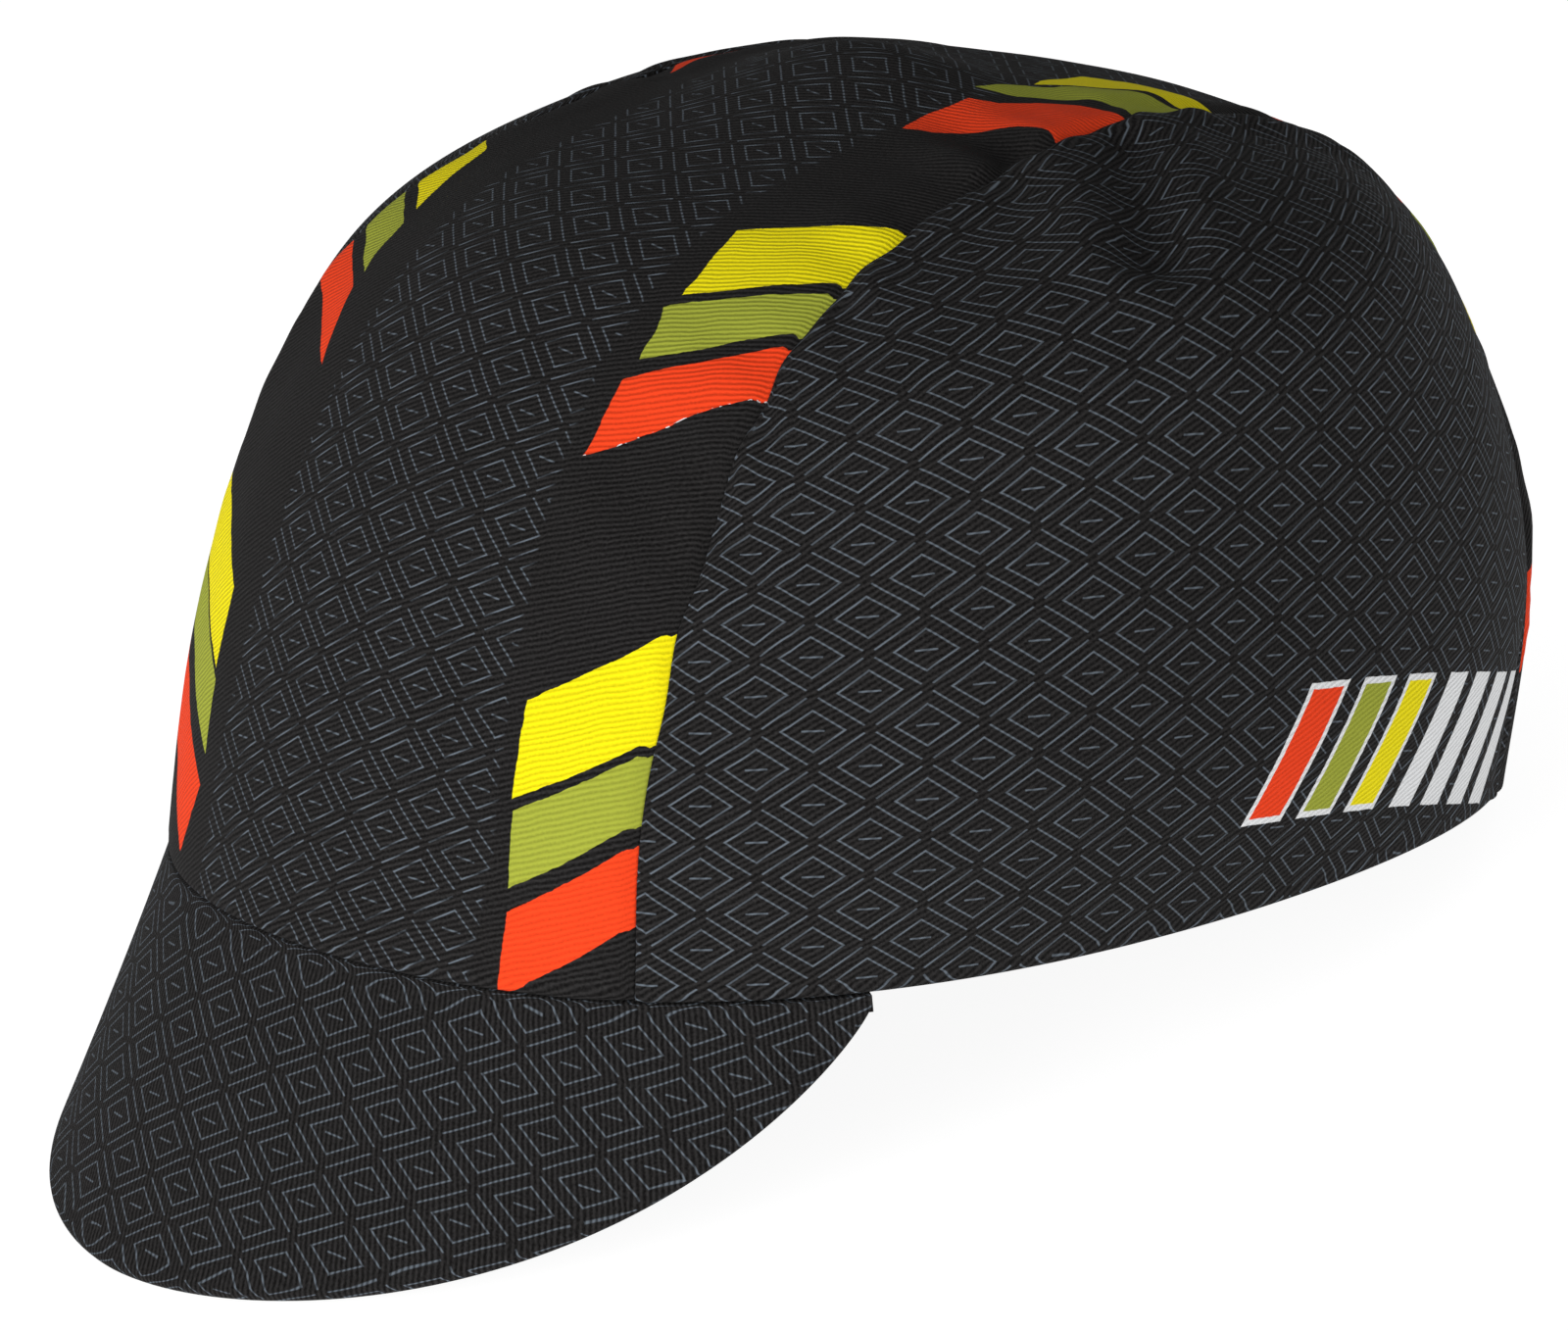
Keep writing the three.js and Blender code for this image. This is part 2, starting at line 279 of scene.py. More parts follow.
# Left and right edges of the centre panel's fine lines: distance from the middle line at the front
# edge, how much that changes for each millimetre back, and the least and greatest it may be
LINED_EDGES = ((44.5, -0.165, 25, 41), (20.5, 0.04, 20, 25))
LINED_UNEVENNESS = 4
LINED_SOFTNESS = 0.8

# Softness in millimetres of the line between the centre panel's halves
MIDDLE_SOFTNESS = 0.2

# Plain slanted stripes on each side panel, in millimetres: where the first of each kind starts on
# the stripes' line, the step to the next one, and their width
STRIPES = (
    {"paints": BAR_PAINTS, "start": 0, "step": 12, "width": 8.4, "edged": True},
    {"paints": ("white",) * 4, "start": 37.5, "step": 11, "width": 7, "edged": False},
)
STRIPE_HEIGHT = 19.5
STRIPE_LEAN = 0.45
STRIPE_EDGE = 0.9
STRIPE_LINE = {"start": (11, 15.5), "slope": 0.02}
STRIPE_UNEVENNESS = 0.4

# Floor, room, lights and camera, with angles in degrees and the lens in millimetres. The lights aim
# at AIM_HEIGHT over the origin. The camera's place is measured on its own axes, from the same
# height over the head's middle.
FLOOR_HALF = 4
FLOOR_SURFACE = {
    "Base Color": (0.32, 0.32, 0.32, 1),
    "Roughness": 0.95,
    "Specular IOR Level": 0.0,
    "Emission Color": (1, 1, 1, 1),
    "Emission Strength": 0.92,
}
ROOM_STRENGTH = 0.29
LIGHTS = {
    "key_light": {"place": (0.5, -1.5, 0.4), "size": 1.0, "power": 20},
    "fill_light": {"place": (1.7, -0.9, 0.6), "size": 1.0, "power": 3},
}
AIM_HEIGHT = 0.06
CAMERA_ANGLES = {"azimuth": 57.525, "elevation": 20.2664, "roll": -9.7918}
CAMERA_PLACE = {"sideways": 0.0049453, "upwards": -0.011659, "distance": 0.977495}
CAMERA_LENS = 157.013


def length(name, description, default):
    """A size in metres that the sidebar can change."""
    return FloatProperty(name=name, description=description, default=default, min=0, unit="LENGTH")


def colour(name, description, default):
    """A linear colour that the sidebar can change."""
    return FloatVectorProperty(
        name=name, description=description, default=default, subtype="COLOR", size=3, min=0, max=1
    )


class CapShape(bpy.types.PropertyGroup):
    """Sizes of the cap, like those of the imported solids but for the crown's walls and seam gap."""

    front_reach: length("Front Reach", "From the middle of the head to the front edge", 0.0885)
    back_reach: length("Back Reach", "From the middle of the head to the rear edge", 0.114)
    half_width: length("Half Width", "From the middle of the head to the side edge", 0.0845)
    crown_top: length("Crown Top", "Height of the crown's top", 0.1302)
    top_setback: length("Top Setback", "How far the top lies behind the middle of the head", 0.033)
    side_edge_height: length("Side Edge Height", "Height of the lower edge at the side", 0.025)
    edge_wave: length("Edge Wave", "How far the lower edge waves up and down", 0.0012)
    rear_sag: length("Rear Sag", "How far the rear edge would hang below the floor", 0.0015)
    shift_ahead: length(
        "Shift Ahead", "From the middle of the cap to the middle of the head", 0.000236
    )
    wall: length("Cloth Wall", "Thickness of the crown's cloth", 0.0011)
    hem_wall: length("Hem Wall", "Thickness of the doubled cloth at hems and seams", 0.0016)
    hem_reach: length("Hem Reach", "How far the doubled cloth reaches from an edge", 0.009)
    seam_half_width: length(
        "Seam Half Width", "Half the width of the centre panel at the top", 0.0456
    )
    seam_gap: length("Seam Gap", "Gap between two panels at a seam", 0.00004)
    groove_depth: length("Groove Depth", "How deep the seam lies in the cloth", 0.0009)
    groove_reach: length("Groove Reach", "How far the seam's groove reaches", 0.0018)
    ridge_height: length(
        "Ridge Height", "Height of the centre panel's ridge beside the seam", 0.00045
    )
    ridge_offset: length("Ridge Offset", "From the seam to the ridge", 0.0085)
    ridge_reach: length("Ridge Reach", "How far the ridge reaches", 0.004)
    roll_height: length("Roll Height", "Height of the side panel's rolled edge", 0.0005)
    roll_offset: length("Roll Offset", "From the seam to the roll", 0.0025)
    roll_reach: length("Roll Reach", "How far the roll reaches", 0.003)
    fold_depth: length("Fold Depth", "Depth of the deepest fold", 0.0022)
    fold_reach: length("Fold Reach", "How far a fold reaches to each side", 0.005)
    pucker_height: length(
        "Pucker Height", "Height of the puckers where the seam bends most", 0.00075
    )
    pucker_reach: length("Pucker Reach", "How far the puckers reach from the seam", 0.008)
    peak_length: length("Peak Length", "Length of the peak at its middle", 0.0503)
    peak_end_length: length("Peak End Length", "Length of the peak at its ends", 0.0015)
    peak_wall: length("Peak Wall", "Thickness of the padded peak", 0.0028)
    peak_edge_wall: length("Peak Edge Wall", "Thickness of the peak at its edge", 0.0019)
    peak_root: length("Peak Root", "How far the peak reaches under the crown", 0.0032)
    peak_gap: length("Peak Gap", "Gap between the crown's edge and the peak", 0.0003)
    mesh_step: length("Mesh Step", "Distance between the points of the cloth", 0.0012)


class CapFinish(bpy.types.PropertyGroup):
    """Colours and cloth sizes of the cap."""

    # The dye, darkened further with painted shade in the valleys between the ribs
    ground_and_valley_shade: colour("Ground", "Dyed cloth between its ribs", (0.0058, 0.0053, 0.0052))
    # Lighter fibres, and painted light where the rib tops catch the light
    rib_light_and_fibres: colour(
        "Ground High", "Dyed cloth on its ribs, where light fibres show", (0.035, 0.0333, 0.0333)
    )
    lining: colour("Inside", "Inside of the cloth", (0.021, 0.0195, 0.019))
    line: colour("Line", "Fine printed lines", (0.12, 0.142, 0.168))
    yellow: colour("Yellow", "First bar of each group", (0.93, 0.80, 0.006))
    olive: colour("Olive", "Second bar of each group", (0.365, 0.405, 0.046))
    red: colour("Red", "Third bar of each group", (0.93, 0.062, 0.014))
    white: colour("White", "White bars and bare thread ends", (0.86, 0.87, 0.88))
    rib_pitch: length("Rib Pitch", "Distance between the cloth's ribs", 0.0008)
    rib_height: length("Rib Height", "Height of the cloth's ribs", 0.00012)
    print_pitch: length("Print Pitch", "Length of one figure of the print", 0.0148)
    print_rise: length("Print Rise", "Height of one figure of the print", 0.0098)
    line_width: length("Line Width", "Width of a printed line", 0.00024)


def bell(distance):
    """1 at no distance, falling softly to 0."""
    return np.exp(-distance * distance)


def ramp(values, low, high):
    """0 below low, 1 above high, with soft ends."""
    share = np.clip((values - low) / (high - low), 0, 1)
    return share * share * (3 - 2 * share)


def lerp(first, second, share):
    return first + (second - first) * share


def unit(vectors):
    return vectors / np.linalg.norm(vectors, axis=-1, keepdims=True)


def mm(value):
    return value * 1000


def follow(values, place, before, beyond):
    """Smooth curve through evenly spaced values, at a place counted in steps from the first."""
    known = np.array([before, *values, beyond], dtype=float)
    index = np.clip(np.floor(place), 0, len(values) - 2).astype(int)
    share = place - index
    p0, p1, p2, p3 = (known[index + step] for step in range(4))
    linear = p2 - p0
    square = 2 * p0 - 5 * p1 + 4 * p2 - p3
    cube = 3 * p1 - p0 - 3 * p2 + p3
    return p1 + share * (linear + share * (square + share * cube)) / 2


def spaced(size, step, wall):
    """Shares along a size at even steps, with more of them beside both ends."""
    beside = np.array(EDGE_ROWS) * wall
    count = max(2, round((size - 2 * beside[-1]) / step))
    middle = np.linspace(beside[-1], size - beside[-1], count + 1)
    return np.concatenate([beside[:-1], middle, size - beside[-2::-1]]) / size


def rounded(radius, distance):
    """How far a round edge falls back at a distance from its end."""
    short = np.clip(radius - distance, 0, radius)
    return radius - np.sqrt(radius**2 - short**2)


def lift_to_floor(*grids):
    """Raises the points that lie under the floor onto it."""
    for points in grids:
        points[..., 2] = np.maximum(0, points[..., 2])


class Crown:
    """The crown's outside as a flat disc, with the top at 0, 0 and the edge at a distance of 1."""

    def __init__(self, shape):
        self.shape = shape
        self.front_edge = (
            shape.peak_length * math.sin(PEAK_SLOPE)
            + shape.peak_edge_wall * math.cos(PEAK_SLOPE)
            + shape.peak_gap
            - TIP_FLATTENING
        )
        along = np.linspace(*SEAM_STRETCH, SEAM_POINTS)
        line = self.disc(self.seam_place(along, 0)[:, 0], along)
        steps = np.linalg.norm(np.diff(line, axis=0), axis=1)
        self.seam_along = along
        self.seam_length = np.concatenate([[0], np.cumsum(steps)])

    def section(self, column, level):
        values = LEVELS[column]
        beyond = values[-2] if column == "rise" else -values[-2]
        return follow(values, level / LEVEL_STEP, 2 * values[0] - values[1], beyond)

    def edge_height(self, turn):
        """Height of the lower edge at a turn round from the front, and 0 where it lies down."""
        shape = self.shape
        front, rear = self.front_edge, shape.rear_sag
        mean = (front - rear) / 4 + shape.side_edge_height / 2
        tilt = (front + rear) / 2
        bow = (front - rear) / 4 - shape.side_edge_height / 2
        wave = shape.edge_wave * (np.cos(3 * turn) - np.cos(turn))
        return np.maximum(0, mean + tilt * np.cos(turn) + bow * np.cos(2 * turn) + wave)

    def point(self, turn, level):
        """Point at a turn in radians and a level in degrees."""
        shape = self.shape
        front = shape.front_reach * self.section("front", level)
        back = shape.back_reach * self.section("back", level)
        rise = self.section("rise", level)
        cosine = np.cos(turn)
        forward = ((front + back) * cosine + (front - back) * cosine * cosine) / 2
        low = self.edge_height(turn)
        x = shape.half_width * self.section("side", level) * np.sin(turn)
        y = shape.top_setback * rise - forward - shape.shift_ahead
        return np.stack([x, y, low + (shape.crown_top - low) * rise], axis=-1)

    def disc(self, across, along):
        return self.point(np.arctan2(across, -along), 90 * (1 - np.hypot(across, along)))

    def normal(self, across, along):
        sideways = self.disc(across + NUDGE, along) - self.disc(across - NUDGE, along)
        lengthways = self.disc(across, along + NUDGE) - self.disc(across, along - NUDGE)
        return unit(np.cross(sideways, lengthways))

    def seam_run(self, along):
        """Length of the seam up to a place along the disc."""
        return np.interp(along, self.seam_along, self.seam_length)

    def seam_half_width(self, along):
        """Half width of the centre panel, with the seam's slight wander where the cloth puckers."""
        stations = SEAM_STATIONS
        place = (np.clip(along, -1, 1) + 1) * (len(stations) - 1) / 2
        first = 2 * stations[0] - stations[1]
        last = 2 * stations[-1] - stations[-2]
        width = self.shape.seam_half_width * follow(stations, place, first, last)
        puckered = ramp(along, *WANDER_START) * (1 - ramp(along, *WANDER_END))
        wander = sum(share * np.sin(along * rate + phase) for share, rate, phase in WANDER_WAVES)
        return width + WANDER_HEIGHT * puckered * wander

    def seam_place(self, along, beyond):
        """Disc places at a distance beyond the seam, found by halving."""
        target = self.seam_half_width(along) + beyond
        low = np.zeros_like(along)
        high = np.sqrt(np.maximum(0, 1 - along * along))
        for _ in range(SEARCH_PASSES):
            middle = (low + high) / 2
            outside = self.disc(middle, along)[..., 0] > target
            high = np.where(outside, middle, high)
            low = np.where(outside, low, middle)
        return np.stack([(low + high) / 2, along], axis=-1)

    def seam_foot(self, end, beyond):
        """Where the seam meets the edge, at the front (end -1) or the rear (end 1)."""
        along = float(end)
        for _ in range(SEARCH_PASSES):
            width = float(self.seam_half_width(np.array(along))) + beyond
            share = width / self.shape.half_width
            along = end * math.sqrt(1 - share * share)
        return np.array([math.sqrt(1 - along * along), along])

    def seam_line(self, beyond):
        """The seam's two feet, and its disc places at shares of the way between them."""
        front, rear = self.seam_foot(-1, beyond), self.seam_foot(1, beyond)

        def at(share):
            share = np.asarray(share, dtype=float)
            places = self.seam_place(lerp(front[1], rear[1], share), beyond)
            places = np.where((share <= 0)[..., None], front, places)
            return np.where((share >= 1)[..., None], rear, places)

        return front, rear, at

    def folds(self, points):
        """Height that the soft folds add at points of the crown."""
        shape = self.shape
        height = np.zeros(points.shape[:-1])
        for fold in FOLDS:
            start = self.point(math.radians(fold["turn"]), float(fold["level"]))
            end = self.point(math.radians(fold["end_turn"]), float(fold["end_level"]))
            run = end - start
            share = np.clip((points - start) @ run / (run @ run), 0, 1)
            gap = np.linalg.norm(points - start - share[..., None] * run, axis=-1)
            away = gap / (fold["reach"] * shape.fold_reach)
            dip = bell(away) - FOLD_RIM * bell((away - FOLD_RIM_PLACE) / FOLD_RIM_WIDTH)
            height -= fold["depth"] * shape.fold_depth * dip
        return height


def panel_cloth(crown, across, along, phase):
    """Outside and inside points of a crown panel at disc places, and their distance to the seam."""
    shape = crown.shape
    smooth = crown.disc(across, along)
    normal = crown.normal(across, along)
    slant = np.maximum(LEAST_SLANT, np.sqrt(1 - normal[..., 0] ** 2))
    away = (np.abs(smooth[..., 0]) - crown.seam_half_width(along)) / slant
    from_seam = np.maximum(0, np.abs(away) - shape.seam_gap / 2)
    turn = np.arctan2(across, -along)
    from_edge = np.linalg.norm(smooth - crown.point(turn, np.zeros_like(turn)), axis=-1)

    on_side = away > 0
    groove = np.where(on_side, SIDE_GROOVE, CENTRE_GROOVE) * shape.groove_depth
    groove *= bell(away / shape.groove_reach)
    ridge = shape.ridge_height * bell((away + shape.ridge_offset) / shape.ridge_reach)
    roll = shape.roll_height * bell((away - shape.roll_offset) / shape.roll_reach)
    waved = ramp(from_edge, 0, WAVE_START) * ramp(from_seam, 0, WAVE_SEAM_START)
    stand = crown.folds(smooth) - groove + np.where(on_side, roll, ridge)
    stand += seam_steps(crown, across, along, away)
    stand += puckers(crown, across, along, from_seam, on_side, phase)
    stand += waves(smooth, phase) * waved

    nearest = np.minimum(from_edge, from_seam)
    doubled = 1 - ramp(nearest, shape.hem_reach - HEM_FADE, shape.hem_reach)
    wall = lerp(shape.wall, shape.hem_wall, doubled)
    rounding = np.maximum(
        rounded(SEAM_ROUNDING * wall, from_seam), rounded(HEM_ROUNDING * wall, from_edge)
    )
    outside = smooth + normal * (stand - rounding)[..., None]
    inside = smooth + normal * (stand - wall + rounding)[..., None]
    lift_to_floor(outside, inside)
    return outside, inside, from_seam


def seam_steps(crown, across, along, away):
    """How far the cloth beside a seam rises on one side and dips on the other."""
    run = crown.seam_run(along)
    rise = np.zeros_like(run)
    for step in SEAM_STEPS:
        here = np.where(across * step["side"] > 0, bell((run - step["run"]) / step["reach"]), 0)
        rise += step["height"] * here
    beside = bell((np.abs(away) - STEP_OFFSET) / STEP_REACH)
    return rise * np.sign(away) * beside


def puckers(crown, across, along, from_seam, on_side, phase):
    """Small gathers beside the seams, highest where the left seam bends over the top."""
    shape = crown.shape
    run = crown.seam_run(along)
    bent = ramp(run, *BEND) * (1 - WEAKENED * ramp(run, *WEAKENING))
    gathered = bell((run - GATHERED_PLACE) / GATHERED_REACH)
    heights, reaches = PUCKER_HEIGHTS, PUCKER_REACHES
    share = heights["plain"] + heights["bent"] * bent + heights["gathered"] * gathered
    height = shape.pucker_height * share * np.where(across < 0, heights["right"], 1)
    on_centre = reaches["centre"] + reaches["bent"] * bent
    reach = shape.pucker_reach * np.where(on_side, reaches["side"], on_centre)
    drift = DRIFT["height"] * np.sin(run / DRIFT["length"] + phase)
    gathers = 0
    for kind, moved in ((LONG_GATHERS, run + drift), (SHORT_GATHERS, run - drift)):
        turns = moved * math.tau / kind["length"] + kind["phase"] * phase
        gathers = gathers + kind["share"] * np.sin(turns)
    swing = np.sin(run / UNEVEN["length"] + UNEVEN["phase"] * phase)
    uneven = UNEVEN["least"] + UNEVEN["more"] * swing
    start = ramp(from_seam, 0, PUCKER_START)
    return height * uneven * start * bell(from_seam / reach) * gathers


def waves(points, phase):
    """Broad, slight waves of cloth that nothing stretches."""
    height = np.zeros(points.shape[:-1])
    for size, (first, first_share), (second, second_share) in WAVES:
        swing = np.sin((points / first).sum(axis=-1) + first_share * phase)
        height += size * swing * np.sin((points / second).sum(axis=-1) + second_share * phase)
    return height


def centre_places(crown):
    """Disc places of the centre panel: a strip from the front edge over the top to the rear."""
    shape = crown.shape
    front, rear, seam_at = crown.seam_line(-shape.seam_gap / 2)
    spread = CENTRE_SPREAD * shape.seam_half_width
    side = 2 * spaced(spread, shape.mesh_step, shape.hem_wall) - 1
    rows = spaced(crown.seam_length[-1], shape.mesh_step, shape.hem_wall)
    edge = seam_at(rows)
    side, row = np.meshgrid(side, rows)
    to_front = (1 - row) * (np.sqrt(1 - (side * front[0]) ** 2) - abs(front[1]))
    to_rear = row * (np.sqrt(1 - (side * rear[0]) ** 2) - abs(rear[1]))
    return side * edge[:, :1], edge[:, 1:] - to_front + to_rear


def side_places(crown, side):
    """Disc places of a side panel from the lower edge to the seam, left (side 1) or right (-1)."""
    shape = crown.shape
    corner = SIDE_CORNER
    front, rear, seam_at = crown.seam_line(shape.seam_gap / 2)
    front_turn = math.atan2(front[0], -front[1])
    rear_turn = math.atan2(rear[0], -rear[1])
    shares = spaced(SIDE_LENGTH, shape.mesh_step, shape.hem_wall)
    heights = spaced(SIDE_HEIGHT, shape.mesh_step, shape.hem_wall)
    turns = lerp(front_turn, rear_turn, shares)
    low = np.stack([np.sin(turns), -np.cos(turns)], axis=-1)[None]
    high = seam_at(lerp(corner, 1 - corner, shares))[None]
    front_line = seam_at(corner * heights)[:, None]
    rear_line = seam_at(1 - corner * heights)[:, None]
    share, height = shares[None, :, None], heights[:, None, None]
    corners = lerp(seam_at(corner), seam_at(1 - corner), share)
    places = lerp(low, high, height) + lerp(front_line, rear_line, share)
    places = places - lerp(lerp(front, rear, share), corners, height)
    if side < 0:
        places = places[:, ::-1]
    return side * places[..., 0], places[..., 1]


def peak_point(crown, share, out):
    """Top of the peak at a share of the way to its end, from -1 to 1, and a share of its length."""
    shape = crown.shape
    turn = share * PEAK_TURN
    spread = np.maximum(0, 1 - np.abs(share) ** PEAK_SHOULDER_POWER) ** PEAK_TAPER_POWER
    reach = out * lerp(shape.peak_end_length, shape.peak_length, spread)
    slope = lerp(PEAK_SLOPE, PEAK_END_SLOPE, share * share)
    round_edge = np.stack([np.sin(turn), -np.cos(turn), np.zeros_like(turn)], axis=-1)
    ahead = unit(lerp(round_edge, np.array([0.0, -1.0, 0.0]), PEAK_STRAIGHTNESS))
    point = crown.point(turn, np.zeros_like(turn)) + ahead * (reach * np.cos(slope))[..., None]
    point[..., 2] = crown.edge_height(turn) - shape.peak_gap - reach * np.sin(slope)
    return point


def peak_cloth(crown):
    """Top and underside points of the peak, from its root under the crown to its edge."""
    shape = crown.shape
    angles = spaced(PEAK_SPREAD * shape.half_width, shape.mesh_step, shape.peak_wall / 4)
    columns = np.sin((0.5 - angles) * math.pi)
    outs = spaced(shape.peak_length, shape.mesh_step, shape.peak_edge_wall)
    share, out = np.meshgrid(columns, outs)
    top = peak_point(crown, share, out)
    within = np.clip(share, NUDGE - 1, 1 - NUDGE)
    sideways = peak_point(crown, within + NUDGE, out) - peak_point(crown, within - NUDGE, out)
    root = peak_point(crown, share, np.zeros_like(out))
    outwards = peak_point(crown, share, np.ones_like(out)) - root
    normal = unit(np.cross(outwards, sideways))
    wall = lerp(shape.peak_wall, shape.peak_edge_wall, out**PEAK_EDGE_POWER)
    from_edge = np.linalg.norm(outwards, axis=-1) * (1 - out)
    rounding = rounded(HEM_ROUNDING * wall, from_edge)
    outside = top - normal * rounding[..., None]
    inside = top - normal * (wall - rounding)[..., None]

    turn = columns * PEAK_TURN
    inward = -crown.normal(np.sin(turn), -np.cos(turn))
    inward[:, 2] = 0
    inward = unit(inward) * shape.peak_root
    roots = np.array([root[0] + inward * share_in for share_in in PEAK_ROOT_ROWS])
    under = roots.copy()
    under[..., 2] -= shape.peak_wall
    outside = np.concatenate([roots, outside])
    inside = np.concatenate([under, inside])
    lift_to_floor(outside, inside)
    return outside, inside


def grid_faces(rows, columns, start=0):
    """Quads of a grid of points, counted row by row."""
    first = start + np.arange((rows - 1) * columns).reshape(rows - 1, columns)[:, :-1].ravel()
    return np.stack([first, first + 1, first + columns + 1, first + columns], axis=-1)


def unwrapped(points):
    """Flat coordinates of a coarse grid of points, unwrapped with the least stretch."""
    faces = grid_faces(*points.shape[:2])
    mesh = bpy.data.meshes.new("flat_pattern")
    mesh.from_pydata(points.reshape(-1, 3).tolist(), [], faces.tolist())
    pattern = bpy.data.objects.new("flat_pattern", mesh)
    bpy.context.scene.collection.objects.link(pattern)
    bpy.ops.object.select_all(action="DESELECT")
    bpy.context.view_layer.objects.active = pattern
    pattern.select_set(True)
    bpy.ops.object.mode_set(mode="EDIT")
    bpy.ops.mesh.select_all(action="SELECT")
    bpy.ops.uv.unwrap(method="MINIMUM_STRETCH", fill_holes=False, iterations=PATTERN_PASSES)
    bpy.ops.object.mode_set(mode="OBJECT")
    uv = np.zeros(len(mesh.loops) * 2)
    mesh.uv_layers.active.data.foreach_get("uv", uv)
    corners = np.zeros(len(mesh.loops), dtype=int)
    mesh.loops.foreach_get("vertex_index", corners)
    flat = np.zeros((len(mesh.vertices), 2))
    flat[corners] = uv.reshape(-1, 2)
    bpy.data.objects.remove(pattern)
    bpy.data.meshes.remove(mesh)
    return flat.reshape(*points.shape[:2], 2)


def aligned(flat, origin, ahead):
    """Flat coordinates turned and moved so that one grid point is 0, 0 and another straight up."""
    base = flat[origin]
    run = flat[ahead] - base
    angle = math.atan2(run[0], run[1])
    turned = np.array([[math.cos(angle), -math.sin(angle)], [math.sin(angle), math.cos(angle)]])
    return (flat - base) @ turned.T


def flat_coordinates(points):
    """Flat coordinates of a grid of cloth points in millimetres, up from its first row's middle."""
    rows, columns = points.shape[:2]
    keep_rows = np.unique(np.append(np.arange(0, rows, PATTERN_STEP), rows - 1))
    keep_columns = np.unique(np.append(np.arange(0, columns, PATTERN_STEP), columns - 1))
    coarse = points[np.ix_(keep_rows, keep_columns)]
    flat = unwrapped(coarse)
    cloth_length = np.linalg.norm(np.diff(coarse, axis=0), axis=-1).sum()
    flat_length = np.linalg.norm(np.diff(flat, axis=0), axis=-1).sum()
    flat *= mm(cloth_length) / flat_length
    sideways, upwards = flat[0, -1] - flat[0, 0], flat[-1, 0] - flat[0, 0]
    if sideways[0] * upwards[1] < sideways[1] * upwards[0]:
        flat[..., 0] *= -1
    full = np.empty((rows, columns, 2))
    for axis in (0, 1):
        by_row = [np.interp(np.arange(columns), keep_columns, line[:, axis]) for line in flat]
        for column, values in enumerate(zip(*by_row)):
            full[:, column, axis] = np.interp(np.arange(rows), keep_rows, values)
    middle = columns // 2
    return aligned(full, (0, middle), (-1, middle))


def cloth_object(name, outside, inside, from_seam):
    """A closed cloth wall from two matching grids, with its cloth coordinates as attributes."""
    rows, columns = outside.shape[:2]
    count = rows * columns
    outer = grid_faces(rows, columns)
    inner = grid_faces(rows, columns, count)[:, ::-1]
    index = np.arange(count).reshape(rows, columns)
    rim = np.concatenate([index[0, :-1], index[:-1, -1], index[-1, :0:-1], index[:0:-1, 0]])
    after = np.roll(rim, -1)
    border = np.stack([after, rim, rim + count, after + count], axis=-1)
    faces = np.concatenate([outer, inner, border])
    mesh = bpy.data.meshes.new(name)
    points = np.concatenate([outside.reshape(-1, 3), inside.reshape(-1, 3)])
    mesh.from_pydata(points.tolist(), [], faces.tolist())
    mesh.polygons.foreach_set("use_smooth", np.ones(len(faces), dtype=bool))
    cloth = np.concatenate([flat_coordinates(outside), mm(from_seam)[..., None]], axis=-1)
    attribute = mesh.attributes.new("cloth", "FLOAT_VECTOR", "POINT")
    attribute.data.foreach_set("vector", np.tile(cloth.ravel(), 2))
    lining = mesh.attributes.new("lining", "FLOAT", "POINT")
    lining.data.foreach_set("value", np.repeat([0.0, 1.0], count))
    mesh.update()
    piece = bpy.data.objects.new(name, mesh)
    bpy.context.scene.collection.objects.link(piece)
    return piece


def fit_piece(piece, node):
    """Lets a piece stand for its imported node, on the cap's one body."""
    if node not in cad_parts:
        raise RuntimeError(f"the packed model has no node {node}")
    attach(piece, "root")
    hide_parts(node)


class Signal:
    """A value or colour that flows through a finish, so that its maths reads as arithmetic."""

    def __init__(self, finish, socket):
        self.finish = finish
        self.socket = socket

    def __add__(self, other):
        return self.finish.math("ADD", self, other)

    def __radd__(self, other):
        return self.finish.math("ADD", other, self)

    def __sub__(self, other):
        return self.finish.math("SUBTRACT", self, other)

    def __rsub__(self, other):
        return self.finish.math("SUBTRACT", other, self)

    def __mul__(self, other):
        return self.finish.math("MULTIPLY", self, other)

    def __rmul__(self, other):
        return self.finish.math("MULTIPLY", other, self)

    def __truediv__(self, other):
        return self.finish.math("DIVIDE", self, other)

    def __rtruediv__(self, other):
        return self.finish.math("DIVIDE", other, self)

    def __abs__(self):
        return self.finish.math("ABSOLUTE", self)


